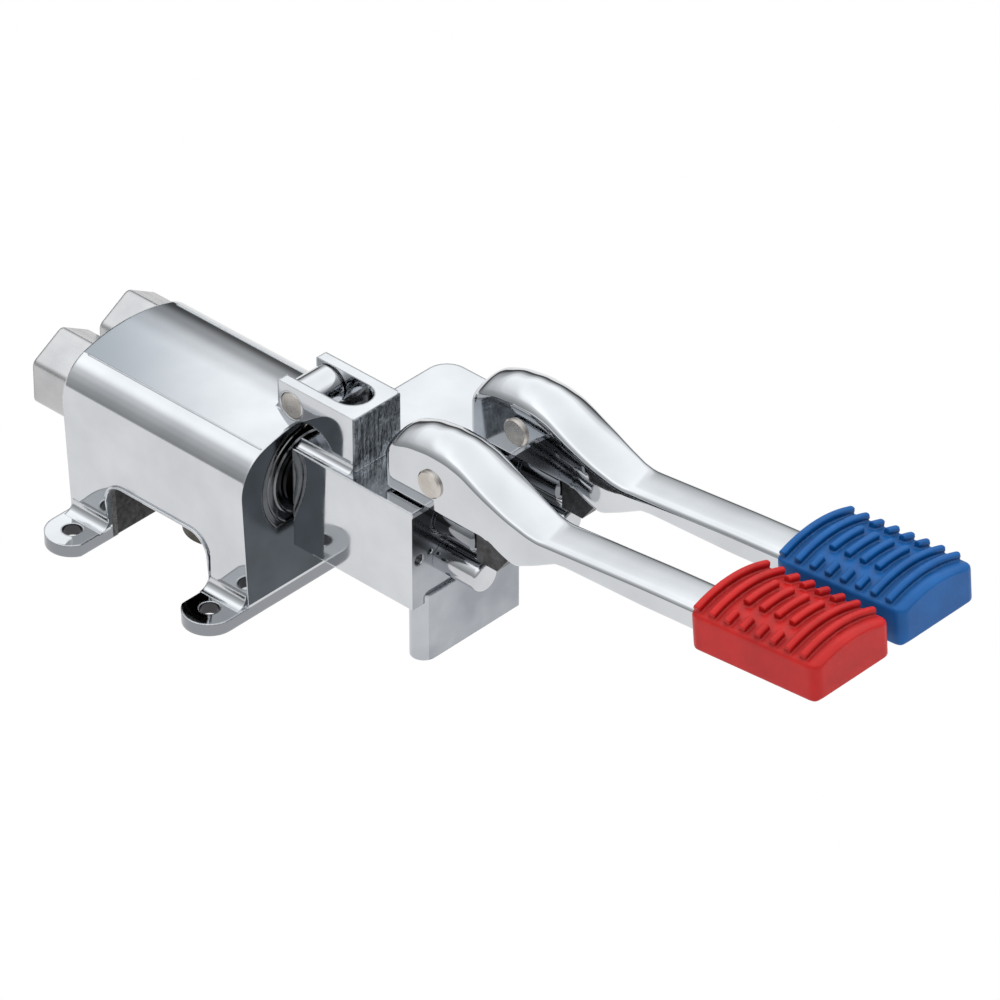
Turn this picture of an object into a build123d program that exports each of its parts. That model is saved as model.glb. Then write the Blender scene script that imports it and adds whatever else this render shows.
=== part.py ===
from build123d import *
import math
import os

# Driving dimensions in millimetres. X is to the right, Y to the rear (the inlets), Z up.
# The origin lies on the floor, in the middle of the four foot holes of the housing.

# Housing shell
housing_length = 84.0
side_draft = 2.4
shoulder_z = 48.9
shoulder_radius = 15.5
crown_half_width = 20.6
housing_top = 66.8
housing_wall = 4.0
foot_pitch_x = 75.5
foot_pitch_y = 65.0
foot_hole_r = 3.5
foot_thickness = 4.6
arch_length = 48.0
arch_top = 24.9
arch_corner_r = 8.0

# Turned steps on the front wall, around the valve's axis
valve_z = 44.5
spot_radius_outer = 21.6
spot_radius_inner = 18.0
spot_depth = 0.8
ledge_z = 30.0

# Front carriage: the block that lifts about the hinge and carries both pedals
carriage_offset = 3.7
pedal_pitch = 40.4
block_left_reach = 15.0
block_right_reach = 17.3
block_gap = 4.0
block_length = 54.0
block_bottom = 22.6
block_top = 61.5
block_corner_r = 8.0
block_edge = 0.6

# Hinge between the housing and the block
hinge_z = 74.6
hinge_y_from_front = 0.05
hinge_pin_r = 5.0
ear_rear = 6.2
ear_top = 7.8
ear_edge = 0.8
tongue_round = 7.0
tongue_width = 12.7
clevis_width = 22.0
clevis_length = 28.0
slot_width = 14.0
slot_rim = 3.6
scallop_ahead = 8.5
scallop_below = 14.3
scallop_r = 10.6

# Front foot under the block
front_foot_left_reach = 10.9
front_foot_width = 46.2
front_foot_thickness = 9.6
front_foot_height = 26.0
front_foot_proud = 1.2
front_foot_corner = 1.5
front_foot_cove = 6.0

# Pedal levers: places ahead of the pivot (towards the pads) and above it
lever_pivot_ahead = 3.7
lever_pivot_z = 72.8
pivot_pin_r = 5.1
pivot_pin_proud = 1.2
lug_round = 6.6
lug_front_slope = 30.0
lug_rear_slope = 45.0
lug_base = 12.0
head_width = 20.0
head_wall = 2.5
head_rear = 22.3
head_corner = 4.6
head_back_top = 6.6
head_plan_round = 4.2
dome_rise = 5.0
dome_radius = 32.4
dome_top = 15.2
dome_ahead = 2.0
dome_swing = 60.0
crest_ahead = 3.5
crest_above = 10.6
brow_ahead = 21.6
brow_above = 5.2
neck_ahead = 44.5
neck_above = -1.9
chin_ahead = 35.3
chin_below = 16.6
throat_ahead = 53.5
throat_below = 7.0
skirt_rise = 0.9
skirt_end_ahead = 23.0
arm_width = 16.4
arm_depth = 8.3
crown_radius = 3.0
finger_width = 10.0
finger_ahead = 15.6
finger_length = 9.0
finger_below = 25.2

# Pedal pads
pad_ahead = 113.2
pad_width = 34.4
pad_length = 50.2
pad_edge_height = 12.7
pad_crown = 3.4
pad_left_reach = 10.7
pad_rear_top = 77.8
pad_slope = 4.9
pad_corner_r = 3.5
rib_count = 8
rib_pitch = 5.9
rib_width = 2.9
rib_rise = 2.0
rib_inset = 1.6
rib_root = 1.0
paddle_thickness = 4.5
paddle_margin = 4.5
paddle_root = 3.0

# Push rods, stops and transfer pieces in the block
rod_below_pivot = 20.3
rod_r = 5.2
rod_tail_r = 3.0
rod_dome_r = 6.5
rod_shoulder = 12.0
bush_wall = 1.0
bush_recess = 0.8
bush_length = 14.0
chamber_length = 22.0
stop_z = 38.0
stop_r = 5.5
stop_reach = 19.0
stop_shank_r = 3.6
stop_shank_length = 9.0
stop_edge = 1.5
cavity_length = 23.6
cavity_left_margin = 4.3
cavity_right_margin = 7.0
cavity_bottom = 35.0
cover_thickness = 4.0
cover_rim_x = 2.4
cover_rim_below = 6.2
cover_rim_above = 4.2
transfer_travel = 4.3
hot_plate_thickness = 4.0
cold_bar_thickness = 5.0
transfer_drop = 6.4
transfer_rise = 3.4
transfer_margin = 6.4
thrust_pin_r = 3.0
thrust_ring_r = 6.0

# Small holes and screws of the block
grub_hole_r = 2.0
grub_hole_inset = 3.2
grub_hole_z = 41.8
small_hole_r = 1.15
small_hole_inset = 8.4
small_hole_z = 42.4
hole_depth = 7.0
grub_recess = 1.6
cover_screw_r = 1.25
cover_screw_head_r = 2.0
cover_screw_head = 1.6
cover_screw_length = 10.0
cover_screw_inset = 5.4

# Valve inside the housing
chest_r = 15.0
chest_rear_wall = 8.0
chest_bore_r = 9.0
chest_bore_wall = 4.0
inlet_pitch = 31.0
inlet_drop = 0.9
inlet_boss_r = 10.0
inlet_boss_length = 26.0
gland_r = 11.6
gland_flange = 2.6
gland_shank_r = 10.4
gland_length = 6.5
sleeve_r = 6.3
sleeve_reach = 3.0
cold_poppet_r = 8.3
poppet_thickness = 2.7
cold_seat_depth = 26.0
cold_seat_bore_r = 7.0
seat_spacing = 18.0
hot_seat_bore_r = 5.0
seat_thickness = 4.0
hot_poppet_r = 6.5
outlet_boss_r = 13.0
outlet_bottom = 3.0
outlet_depth = 14.0
outlet_port_r = 6.0

# Half-inch parallel pipe thread, inside thread of the inlets and of the outlet
pipe_minor_r = 9.3
union_flats = 27.0
union_length = 16.0
union_corner_r = 3.0
union_socket = 11.0
union_shank_r = 8.0
union_shank = 14.5
union_bore_r = 6.5
strainer_r = 8.5
strainer_thickness = 2.0
strainer_hole_r = 1.3
strainer_holes = 8
strainer_ring_r = 5.6

# Springs and seals
spring_wire = 1.1
spring_turns = 4
spring_steps = 10
seal_section = 1.4
seal_groove = 2.4

# Named clearances
running = 0.05
seated = 0.02
apart = 0.3
side_play = 0.3

# Places worked out from the sizes above
front_y = -housing_length / 2
rear_y = housing_length / 2
inlet_x = inlet_pitch / 2
inlet_z = shoulder_z - inlet_drop
housing_half_width = inlet_x + shoulder_radius
housing_foot_half_width = housing_half_width - side_draft
foot_hole_x = foot_pitch_x / 2
foot_hole_y = foot_pitch_y / 2
foot_r = rear_y - foot_hole_y
hinge_y = front_y + hinge_y_from_front
hot_x = carriage_offset
cold_x = carriage_offset + pedal_pitch
block_left = hot_x - block_left_reach
block_right = cold_x + block_right_reach
block_rear_y = front_y - block_gap
block_front_y = block_rear_y - block_length
pivot_y = block_front_y - lever_pivot_ahead
pad_rear_y = pivot_y - pad_ahead
rod_z = lever_pivot_z - rod_below_pivot
bush_r = rod_r + bush_wall
bush_front_y = block_front_y + bush_recess
bush_rear_y = bush_front_y + bush_length
rod_shoulder_y = block_front_y + rod_shoulder
chamber_end_y = block_front_y + chamber_length
finger_y = pivot_y - finger_ahead
rod_tip_y = finger_y + apart
cavity_front_y = block_rear_y - cavity_length
cavity_top = rod_z + transfer_rise + apart
cavity_left = block_left + cavity_left_margin
cavity_right = block_right - cavity_right_margin
cover_left = cavity_left - cover_rim_x
cover_right = cavity_right + cover_rim_x
cover_bottom = cavity_bottom - cover_rim_below
cover_top = cavity_top + cover_rim_above
cover_front_y = block_rear_y - cover_thickness
hot_plate_front_y = cavity_front_y + apart
hot_plate_rear_y = hot_plate_front_y + hot_plate_thickness
cold_bar_front_y = hot_plate_rear_y + transfer_travel
cold_bar_rear_y = cold_bar_front_y + cold_bar_thickness
transfer_bottom = valve_z - transfer_drop
transfer_top = rod_z + transfer_rise
sleeve_tip_y = front_y - sleeve_reach
thrust_tip_y = sleeve_tip_y - apart
spot_floor_y = front_y + 2 * spot_depth
groove_y = spot_floor_y + gland_length / 2
cold_seat_y = spot_floor_y + cold_seat_depth
hot_seat_y = cold_seat_y + seat_spacing
sleeve_end_y = cold_seat_y + seat_thickness + apart + poppet_thickness
hot_pin_end_y = hot_seat_y + seat_thickness + apart + poppet_thickness
chest_front_y = front_y + housing_wall
chest_inner_rear_y = rear_y - housing_wall
chest_rear_y = rear_y - chest_rear_wall
chest_bore_end_y = chest_rear_y - chest_bore_wall
reach = housing_length


def box(x0, x1, y0, y1, z0, z1):
    """Box between two corners."""
    centre = ((x0 + x1) / 2, (y0 + y1) / 2, (z0 + z1) / 2)
    return Pos(*centre) * Box(abs(x1 - x0), abs(y1 - y0), abs(z1 - z0))


def rod_along_y(radius, y0, y1, x=0.0, z=0.0):
    """Cylinder along Y from y0 to y1."""
    return Pos(x, (y0 + y1) / 2, z) * Rot(90, 0, 0) * Cylinder(radius, abs(y1 - y0))


def rod_along_x(radius, x0, x1, y=0.0, z=0.0):
    """Cylinder along X from x0 to x1."""
    return Pos((x0 + x1) / 2, y, z) * Rot(0, 90, 0) * Cylinder(radius, abs(x1 - x0))


def rod_along_z(radius, z0, z1, x=0.0, y=0.0):
    """Upright cylinder from z0 to z1."""
    return Pos(x, y, (z0 + z1) / 2) * Cylinder(radius, abs(z1 - z0))


def plate_along_x(points, x0, x1):
    """Outline of (y, z) points, thickened from x0 to x1."""
    outline = Plane.YZ * Polygon(*points, align=None)
    return Pos(x0, 0, 0) * extrude(outline, amount=x1 - x0, dir=(1, 0, 0))


def housing_outline(inset):
    """Cross-section of the housing, drawn in by an inset: tapered sides, round shoulders, domed top."""
    foot = housing_foot_half_width - inset
    side = housing_half_width - inset
    across = shoulder_radius - (housing_half_width - crown_half_width)
    lean = math.acos(across / shoulder_radius)
    radius = shoulder_radius - inset
    crown_x = inlet_x + radius * math.cos(lean)
    crown_z = shoulder_z + radius * math.sin(lean)
    middle_x = inlet_x + radius * math.cos(lean / 2)
    middle_z = shoulder_z + radius * math.sin(lean / 2)
    with BuildSketch(Plane.XZ) as outline:
        with BuildLine():
            Polyline((-side, shoulder_z), (-foot, 0), (foot, 0), (side, shoulder_z))
            ThreePointArc((side, shoulder_z), (middle_x, middle_z), (crown_x, crown_z))
            ThreePointArc((crown_x, crown_z), (0, housing_top - inset), (-crown_x, crown_z))
            ThreePointArc((-crown_x, crown_z), (-middle_x, middle_z), (-side, shoulder_z))
        make_face()
    return outline.sketch


def housing_shell():
    """Outer casting, open below, with both end walls and the four feet."""
    outer = Pos(0, rear_y, 0) * extrude(housing_outline(0), amount=housing_length)
    for sx in (-1, 1):
        for sy in (-1, 1):
            hole_x = sx * foot_hole_x
            hole_y = sy * foot_hole_y
            outer += box(0, hole_x, hole_y - foot_r, hole_y + foot_r, 0, foot_thickness)
            outer += rod_along_z(foot_r, 0, foot_thickness, hole_x, hole_y)
    inner = Pos(0, rear_y - housing_wall, 0) * extrude(
        housing_outline(housing_wall), amount=housing_length - 2 * housing_wall
    )
    return outer - inner


def side_arch():
    """Round-cornered opening through both side walls."""
    arch = Plane.YZ * RectangleRounded(arch_length, 2 * arch_top, arch_corner_r)
    return Pos(-reach, 0, 0) * extrude(arch, amount=2 * reach)


def hinge_tongue():
    """Round-nosed tongue on top of the housing, between the clevis ears."""
    left = hot_x - tongue_width / 2
    right = hot_x + tongue_width / 2
    tongue = rod_along_x(tongue_round, left, right, hinge_y, hinge_z)
    low = housing_top - housing_wall
    slant = tongue_round * math.cos(math.pi / 4)
    web = [
        (hinge_y - tongue_round, hinge_z),
        (hinge_y - slant, hinge_z - slant),
        (front_y, low),
        (hinge_y + 2 * tongue_round, low),
        (hinge_y + slant, hinge_z + slant),
        (hinge_y, hinge_z),
    ]
    return tongue + plate_along_x(web, left, right)


def body_housing():
    """Housing casting with its feet, arches, turned front wall and hinge tongue."""
    body = housing_shell() - side_arch()
    body += hinge_tongue()
    body -= rod_along_x(hinge_pin_r + running, -reach, reach, hinge_y, hinge_z)
    for sx in (-1, 1):
        body -= rod_along_y(
            union_shank_r + seated, chest_inner_rear_y - housing_wall, rear_y + housing_wall,
            sx * inlet_x, inlet_z,
        )
        for sy in (-1, 1):
            body -= rod_along_z(
                foot_hole_r, -foot_thickness, 2 * foot_thickness, sx * foot_hole_x, sy * foot_hole_y
            )
    spot = rod_along_y(spot_radius_outer, front_y - spot_depth, front_y + spot_depth, 0, valve_z)
    spot += rod_along_y(spot_radius_inner, front_y - spot_depth, spot_floor_y, 0, valve_z)
    spot -= box(-reach, reach, front_y - spot_depth, rear_y, 0, ledge_z)
    body -= spot
    bore_end = front_y + 2 * housing_wall
    body -= rod_along_y(gland_shank_r + seated, front_y - spot_depth, bore_end, 0, valve_z)
    return body


def valve_chest():
    """Brass water chest inside the housing: valve bore, two inlet bosses and the outlet boss."""
    boss_front = chest_inner_rear_y - inlet_boss_length
    chest = rod_along_y(chest_r, chest_front_y, chest_rear_y, 0, valve_z)
    chest += box(
        -inlet_x, inlet_x, boss_front, chest_inner_rear_y, inlet_z - inlet_boss_r, inlet_z + inlet_boss_r
    )
    chest += rod_along_z(outlet_boss_r, outlet_bottom, valve_z)
    for sx in (-1, 1):
        chest += rod_along_y(inlet_boss_r, boss_front, chest_inner_rear_y, sx * inlet_x, inlet_z)
    for sx in (-1, 1):
        chest -= rod_along_y(union_shank_r + seated, rear_y - union_shank, rear_y, sx * inlet_x, inlet_z)
    chest -= rod_along_y(chest_bore_r, front_y, chest_bore_end_y, 0, valve_z)
    chest -= rod_along_y(gland_shank_r + seated, front_y, spot_floor_y + gland_length, 0, valve_z)
    chest -= rod_along_z(pipe_minor_r, 0, outlet_bottom + outlet_depth)
    chest -= rod_along_z(outlet_port_r, outlet_bottom, valve_z)
    return chest


def gland_cap():
    """Turned gland that closes the valve bore and guides the cold sleeve."""
    cap = rod_along_y(gland_r, spot_floor_y - gland_flange, spot_floor_y, 0, valve_z)
    cap += rod_along_y(gland_shank_r, spot_floor_y, spot_floor_y + gland_length, 0, valve_z)
    cap -= rod_along_y(sleeve_r + running, front_y - housing_wall, rear_y, 0, valve_z)
    groove_r = sleeve_r + running + seated + seal_section + seated
    cap -= rod_along_y(groove_r, groove_y - seal_groove / 2, groove_y + seal_groove / 2, 0, valve_z)
    return cap


def stem_seal():
    """Square-section seal ring in the gland's groove, around the cold sleeve."""
    inner_r = sleeve_r + running + seated
    half = seal_section / 2
    ring = rod_along_y(inner_r + seal_section, groove_y - half, groove_y + half, 0, valve_z)
    return ring - rod_along_y(inner_r, groove_y - seal_section, groove_y + seal_section, 0, valve_z)


def valve_seat(y, bore_r):
    """Seat ring pressed into the valve bore."""
    ring = rod_along_y(chest_bore_r - seated, y, y + seat_thickness, 0, valve_z)
    return ring - rod_along_y(bore_r, y - seat_thickness, y + 2 * seat_thickness, 0, valve_z)


def cold_sleeve():
    """Hollow stem that opens the cold seat, with its poppet collar."""
    stem = rod_along_y(sleeve_r, sleeve_tip_y, sleeve_end_y, 0, valve_z)
    stem += rod_along_y(cold_poppet_r, sleeve_end_y - poppet_thickness, sleeve_end_y, 0, valve_z)
    return stem - rod_along_y(thrust_pin_r + running, front_y - reach, rear_y, 0, valve_z)


def hot_stem():
    """Pin inside the cold sleeve that opens the hot seat, with its poppet."""
    stem = rod_along_y(thrust_pin_r, sleeve_tip_y, hot_pin_end_y, 0, valve_z)
    return stem + rod_along_y(hot_poppet_r, hot_pin_end_y - poppet_thickness, hot_pin_end_y, 0, valve_z)


def coil_spring(radius, y0, y1, x, z):
    """Coil spring along Y between two seats, of square wire in short straight steps."""
    low = min(y0, y1) + spring_wire
    high = max(y0, y1) - spring_wire
    steps = spring_turns * spring_steps
    points = []
    for i in range(steps + 1):
        turn = 2 * math.pi * i / spring_steps
        y = low + (high - low) * i / steps
        points.append((x + radius * math.cos(turn), y, z + radius * math.sin(turn)))
    path = Polyline(*points)
    start = Plane(origin=path @ 0, z_dir=path % 0)
    return sweep(start * Rectangle(spring_wire, spring_wire), path=path, transition=Transition.RIGHT)


def inlet_union(x):
    """Hexagonal inlet union with a half-inch socket and a shank that screws into the chest."""
    hexagon = Plane.XZ * RegularPolygon(union_flats / 2, 6, major_radius=False, rotation=30)
    nut = extrude(hexagon, amount=union_length)
    nut = fillet(nut.edges().filter_by(Axis.Y), union_corner_r)
    mouth = rear_y + union_length
    union = Pos(x, mouth, inlet_z) * nut
    union += rod_along_y(union_shank_r, rear_y - union_shank, rear_y, x, inlet_z)
    seat = mouth - union_socket - strainer_thickness
    union -= rod_along_y(pipe_minor_r, mouth - union_socket, mouth + union_length, x, inlet_z)
    union -= rod_along_y(strainer_r + seated, seat, mouth, x, inlet_z)
    return union - rod_along_y(union_bore_r, rear_y - union_length, mouth, x, inlet_z)


def inlet_strainer(x):
    """Perforated disc at the bottom of the union's socket."""
    floor = rear_y + union_length - union_socket - strainer_thickness
    disc = rod_along_y(strainer_r, floor, floor + strainer_thickness, x, inlet_z)
    holes = [(x, inlet_z)]
    for i in range(strainer_holes):
        turn = 2 * math.pi * i / strainer_holes
        holes.append((x + strainer_ring_r * math.cos(turn), inlet_z + strainer_ring_r * math.sin(turn)))
    for hole_x, hole_z in holes:
        disc -= rod_along_y(strainer_hole_r, rear_y, floor + 2 * strainer_thickness, hole_x, hole_z)
    return disc


def clevis():
    """Slotted clevis on the block, with two ears around the hinge pin."""
    left = hot_x - clevis_width / 2
    right = hot_x + clevis_width / 2
    top = hinge_z + ear_top
    rear = hinge_y + ear_rear
    front = hinge_y - clevis_length
    ears = box(left, right, front, rear, block_top, top)
    back_edges = ears.edges().filter_by(Axis.X).group_by(Axis.Y)[-1]
    ears = fillet(back_edges.sort_by(Axis.Z)[-1], ear_edge)
    ears -= box(left, right, hinge_y, rear, block_top, hinge_z)
    ears -= box(left, right, block_rear_y, rear, block_top, hinge_z)
    ears += rod_along_x(ear_rear, left, right, hinge_y, hinge_z)
    ears -= rod_along_x(scallop_r, left, right, hinge_y - scallop_ahead, hinge_z - scallop_below)
    front_edges = ears.faces().sort_by(Axis.Y)[0].edges()
    ears = chamfer(front_edges.sort_by(Axis.Z)[1:], ear_edge)
    slot_end = front + slot_rim + slot_width / 2
    slot = rod_along_z(slot_width / 2, block_top, 2 * top, hot_x, slot_end)
    slot += box(
        hot_x - slot_width / 2, hot_x + slot_width / 2, slot_end, rear + slot_rim, block_top, 2 * top
    )
    return ears - slot


def pivot_lug(x):
    """Lug under one pedal head that holds the pivot pin."""
    half = head_width / 2 - head_wall - side_play
    steep = math.radians(lug_front_slope)
    slant = math.radians(lug_rear_slope)
    lug = rod_along_x(lug_round, x - half, x + half, pivot_y, lever_pivot_z)
    base = [
        (block_front_y, block_top),
        (pivot_y - lug_round * math.sin(steep), lever_pivot_z - lug_round * math.cos(steep)),
        (pivot_y, lever_pivot_z),
        (pivot_y + lug_round * math.sin(slant), lever_pivot_z + lug_round * math.cos(slant)),
        (block_front_y + lug_base, block_top),
    ]
    lug += plate_along_x(base, x - half, x + half)
    return lug - rod_along_x(pivot_pin_r + seated, x - half, x + half, pivot_y, lever_pivot_z)


def cover_screw_places():
    """Centres (x, z) of the cover's four screws, outside the cavity."""
    return [
        (x, z)
        for x in (cavity_left + cover_screw_inset, cavity_right - cover_screw_inset)
        for z in (cavity_bottom - cover_rim_below / 2, cavity_top + cover_rim_above / 2)
    ]


def front_block():
    """Cast block with the clevis, both pivot lugs, the rod bores and the transfer cavity."""
    block = box(block_left, block_right, block_front_y, block_rear_y, block_bottom, block_top)
    corner = block.edges().filter_by(Axis.Z).sort_by(lambda e: e.center().X + e.center().Y)[-1]
    block = fillet(corner, block_corner_r)
    block = chamfer(block.edges().group_by(Axis.Z)[0], block_edge)
    block += clevis()
    for x in (hot_x, cold_x):
        block += pivot_lug(x)
    block -= rod_along_x(hinge_pin_r + seated, block_left, block_right, hinge_y, hinge_z)
    block -= box(cavity_left, cavity_right, cavity_front_y, block_rear_y, cavity_bottom, cavity_top)
    block -= box(cover_left, cover_right, cover_front_y, front_y, cover_bottom, cover_top)
    front = block_front_y - block_gap
    for x in (hot_x, cold_x):
        block -= rod_along_y(bush_r + seated, front, chamber_end_y, x, rod_z)
        tail_end = cavity_front_y + cover_thickness
        block -= rod_along_y(rod_tail_r + running, block_front_y, tail_end, x, rod_z)
        block -= rod_along_y(
            stop_shank_r + seated, front, block_front_y + stop_shank_length + apart, x, stop_z
        )
    block -= rod_along_y(
        grub_hole_r, front, block_front_y + hole_depth, block_left + grub_hole_inset, grub_hole_z
    )
    block -= rod_along_y(
        small_hole_r, front, block_front_y + hole_depth, block_left + small_hole_inset, small_hole_z
    )
    for x, z in cover_screw_places():
        block -= rod_along_y(
            cover_screw_r + seated, block_rear_y - cover_screw_length - apart, block_rear_y, x, z
        )
    return block - front_foot()


def front_foot():
    """Foot plate under the front of the block, with a full-round left end and a cove behind it."""
    left = hot_x - front_foot_left_reach
    right = left + front_foot_width
    front = block_front_y - front_foot_proud
    rear = front + front_foot_thickness
    radius = front_foot_thickness / 2
    foot = box(left + radius, right, front, rear, 0, front_foot_height)
    corners = foot.edges().filter_by(Axis.Z).sort_by(Axis.X)[-2:]
    foot = fillet(corners, front_foot_corner)
    foot += rod_along_z(radius, 0, front_foot_height, left + radius, (front + rear) / 2)
    cove_z = block_bottom - front_foot_cove
    cove_right = right - front_foot_corner
    cove_rear = rear + front_foot_cove
    cove = box(left + radius, cove_right, rear - radius, cove_rear, cove_z, block_bottom)
    cove -= rod_along_x(front_foot_cove, left, right, cove_rear, cove_z)
    return foot + cove


def block_cover():
    """Plate that closes the back of the block, with a window for the thrust pieces."""
    cover = box(
        cover_left + seated, cover_right - seated, cover_front_y, block_rear_y,
        cover_bottom + seated, cover_top - seated,
    )
    cover -= rod_along_y(thrust_ring_r + apart, cavity_front_y, front_y, 0, valve_z)
    for x, z in cover_screw_places():
        cover -= rod_along_y(cover_screw_r + seated, cavity_front_y, front_y, x, z)
        cover -= rod_along_y(
            cover_screw_head_r + seated, block_rear_y - cover_screw_head, front_y, x, z
        )
    return cover


def cover_screws():
    """Four screws that hold the cover."""
    screws = []
    for x, z in cover_screw_places():
        screw = rod_along_y(cover_screw_head_r, block_rear_y - cover_screw_head, block_rear_y, x, z)
        screw += rod_along_y(cover_screw_r, block_rear_y - cover_screw_length, block_rear_y, x, z)
        screws.append(screw)
    return Compound(children=screws)


def grub_screws():
    """Two grub screws set back in the small holes of the front face."""
    start = block_front_y + grub_recess
    end = block_front_y + hole_depth
    large = rod_along_y(grub_hole_r - seated, start, end, block_left + grub_hole_inset, grub_hole_z)
    small = rod_along_y(small_hole_r - seated, start, end, block_left + small_hole_inset, small_hole_z)
    return Compound(children=[large, small])


def hinge_pin():
    """Pin through both ears and the tongue, flush at both ends."""
    half = clevis_width / 2
    pin = rod_along_x(hinge_pin_r, hot_x - half, hot_x + half, hinge_y, hinge_z)
    return chamfer(pin.edges().filter_by(GeomType.CIRCLE), block_edge)


def pivot_pin(x):
    """Pin in the lug, on which the pedal lever turns."""
    half = head_width / 2 + pivot_pin_proud
    pin = rod_along_x(pivot_pin_r, x - half, x + half, pivot_y, lever_pivot_z)
    return chamfer(pin.edges().filter_by(GeomType.CIRCLE), block_edge)


def rod_bush(x):
    """Guide bush of a push rod, pressed into the front of the block."""
    bush = rod_along_y(bush_r, bush_front_y, bush_rear_y, x, rod_z)
    return bush - rod_along_y(rod_r + running, block_front_y, bush_rear_y + bush_wall, x, rod_z)


def push_rod(x, end_y):
    """Domed push rod between the pedal head and its transfer piece."""
    dome_end_y = rod_tip_y + rod_r / 2
    rod = rod_along_y(rod_r, dome_end_y, rod_shoulder_y, x, rod_z)
    dome = Pos(x, rod_tip_y + rod_dome_r, rod_z) * Sphere(rod_dome_r)
    dome &= rod_along_y(rod_r, rod_tip_y - rod_r, dome_end_y, x, rod_z)
    rod += dome
    return rod + rod_along_y(rod_tail_r, rod_shoulder_y, end_y, x, rod_z)


def bump_stop(x):
    """Fixed stop stud below the push rod, with a rounded nose."""
    stud = rod_along_y(stop_r, block_front_y - stop_reach, block_front_y, x, stop_z)
    nose = stud.edges().filter_by(GeomType.CIRCLE).sort_by(Axis.Y)[0]
    stud = fillet(nose, stop_edge)
    shank_end = block_front_y + stop_shank_length
    return stud + rod_along_y(stop_shank_r, block_front_y, shank_end, x, stop_z)


def transfer_plate_hot():
    """Plate and central pin that carry the hot rod's push to the valve's axis."""
    left = -transfer_margin
    right = hot_x + rod_tail_r
    plate = box(left, right, hot_plate_front_y, hot_plate_rear_y, transfer_bottom, transfer_top)
    return plate + rod_along_y(thrust_pin_r, hot_plate_rear_y, thrust_tip_y, 0, valve_z)


def transfer_bar_cold():
    """Bar and thrust ring that carry the cold rod's push to the valve's axis."""
    left = -transfer_margin
    right = cold_x + transfer_margin
    bar = box(left, right, cold_bar_front_y, cold_bar_rear_y, transfer_bottom, transfer_top)
    bar += rod_along_y(thrust_ring_r, cold_bar_rear_y, thrust_tip_y, 0, valve_z)
    return bar - rod_along_y(thrust_pin_r + apart, cavity_front_y, front_y, 0, valve_z)


def lever_side():
    """Side outline of the lever: humped head, dipping neck and rising arm, with the skirts below."""
    skirt_z = block_top + skirt_rise
    rear_y_face = pivot_y + head_rear
    top = [
        (rear_y_face - head_corner, lever_pivot_z + head_back_top),
        (pivot_y - crest_ahead, lever_pivot_z + crest_above),
        (pivot_y - brow_ahead, lever_pivot_z + brow_above),
        (pivot_y - neck_ahead, lever_pivot_z + neck_above),
    ]
    arm_end = (pad_rear_y - paddle_root, pad_rear_top)
    climb = (arm_end[0] - top[-1][0], arm_end[1] - top[-1][1])
    below = [
        (pad_rear_y - paddle_root, pad_rear_top - arm_depth),
        (pivot_y - throat_ahead, lever_pivot_z - throat_below),
        (pivot_y - chin_ahead, lever_pivot_z - chin_below),
        (pivot_y - skirt_end_ahead, skirt_z),
        (rear_y_face - head_corner, skirt_z),
        (rear_y_face, skirt_z + head_corner),
        (rear_y_face, lever_pivot_z + head_back_top - head_corner),
        top[0],
    ]
    with BuildSketch(Plane.YZ) as side:
        with BuildLine():
            Spline(*top, tangents=[(-1, 1), climb])
            Polyline(top[-1], arm_end, *below)
        make_face()
    return side.sketch


def lever_plan(x):
    """Plan of the lever: wide head, drawn in to the arm at the neck."""
    head = head_width / 2
    arm = arm_width / 2
    rear = pivot_y + head_rear
    front = pad_rear_y - head_wall
    half = [
        (head, rear),
        (head, pivot_y - skirt_end_ahead),
        (arm, pivot_y - neck_ahead),
        (arm, front),
    ]
    outline = [(x + dx, y) for dx, y in half] + [(x - dx, y) for dx, y in reversed(half)]
    plan = Polygon(*outline, align=None)
    plan = fillet(plan.vertices().sort_by(Axis.Y)[-2:], head_plan_round)
    return extrude(plan, amount=2 * block_top, dir=(0, 0, 1))


def lever_outer(x):
    """Outside of the lever, with its long top edges rounded to a crown."""
    half = head_width / 2
    bar = Pos(x - half, 0, 0) * extrude(lever_side(), amount=head_width, dir=(1, 0, 0))
    top = bar.edges().filter_by(GeomType.BSPLINE)
    bar = fillet(top, crown_radius)
    return bar & lever_plan(x)


def head_dome(x):
    """Dome across the top of the head, turned about an axis below the pivot."""
    half = head_width / 2
    axis_z = lever_pivot_z + dome_top - dome_radius
    edge_z = lever_pivot_z + dome_top - dome_rise
    with BuildSketch(Plane.XZ) as arch:
        with BuildLine():
            Polyline((-half, edge_z), (-half, lever_pivot_z), (half, lever_pivot_z), (half, edge_z))
            ThreePointArc((half, edge_z), (0, edge_z + dome_rise), (-half, edge_z))
        make_face()
    middle_y = pivot_y - dome_ahead
    axis = Axis((x, middle_y, axis_z), (1, 0, 0))
    dome = revolve(Pos(x, middle_y, 0) * arch.sketch, axis, 2 * dome_swing)
    dome = dome.rotate(axis, -dome_swing)
    return dome & lever_plan(x)


def lever_hollow(x):
    """Hollow of the head, between its skirts."""
    half = head_width / 2 - head_wall
    rear = pivot_y + head_rear - head_wall
    front = pivot_y - skirt_end_ahead - head_wall
    roof_z = lever_pivot_z - head_wall
    points = [
        (rear, stop_z),
        (rear, lever_pivot_z + head_back_top - head_corner),
        (rear - head_corner, roof_z + head_back_top),
        (pivot_y - crest_ahead, roof_z + crest_above),
        (pivot_y - brow_ahead / 2, roof_z + (crest_above + brow_above) / 2),
        (pivot_y - brow_ahead, roof_z + brow_above),
        (front, lever_pivot_z),
        (front, stop_z),
    ]
    return plate_along_x(points, x - half, x + half)


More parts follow.
